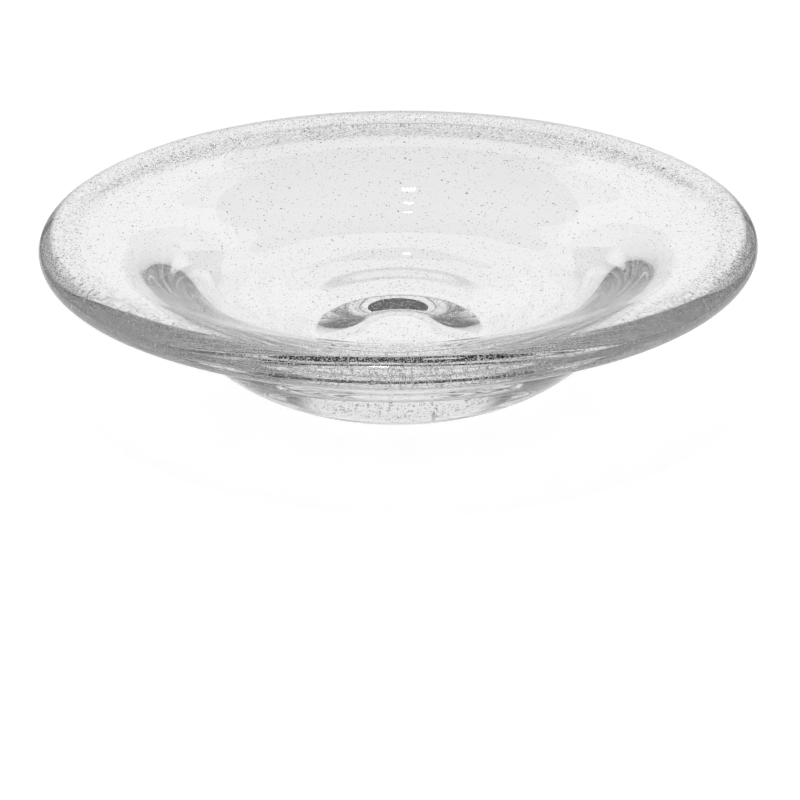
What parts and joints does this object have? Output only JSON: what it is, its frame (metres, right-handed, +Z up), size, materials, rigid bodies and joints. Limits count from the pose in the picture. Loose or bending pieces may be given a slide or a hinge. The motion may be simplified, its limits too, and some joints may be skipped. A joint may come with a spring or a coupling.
{
  "type": "candle plate",
  "caption": "Round flared dish of thick clear glass full of fine bubbles, with a rounded lip, a deep bowl and a ring foot; a candle stands in the bowl.",
  "frame": {"origin": "on the table, under the middle of the foot", "axes": "+Z up along the plate's axis, out of the bowl's mouth; the plate is turned, so +X and +Y are alike"},
  "size_m": [0.25, 0.25, 0.0625],
  "materials": {
    "clear_glass": "fire-polished clear glass with fine bubbles"
  },
  "bodies": {
    "root": {"glass_plate": "clear_glass"}
  },
  "joints": []
}
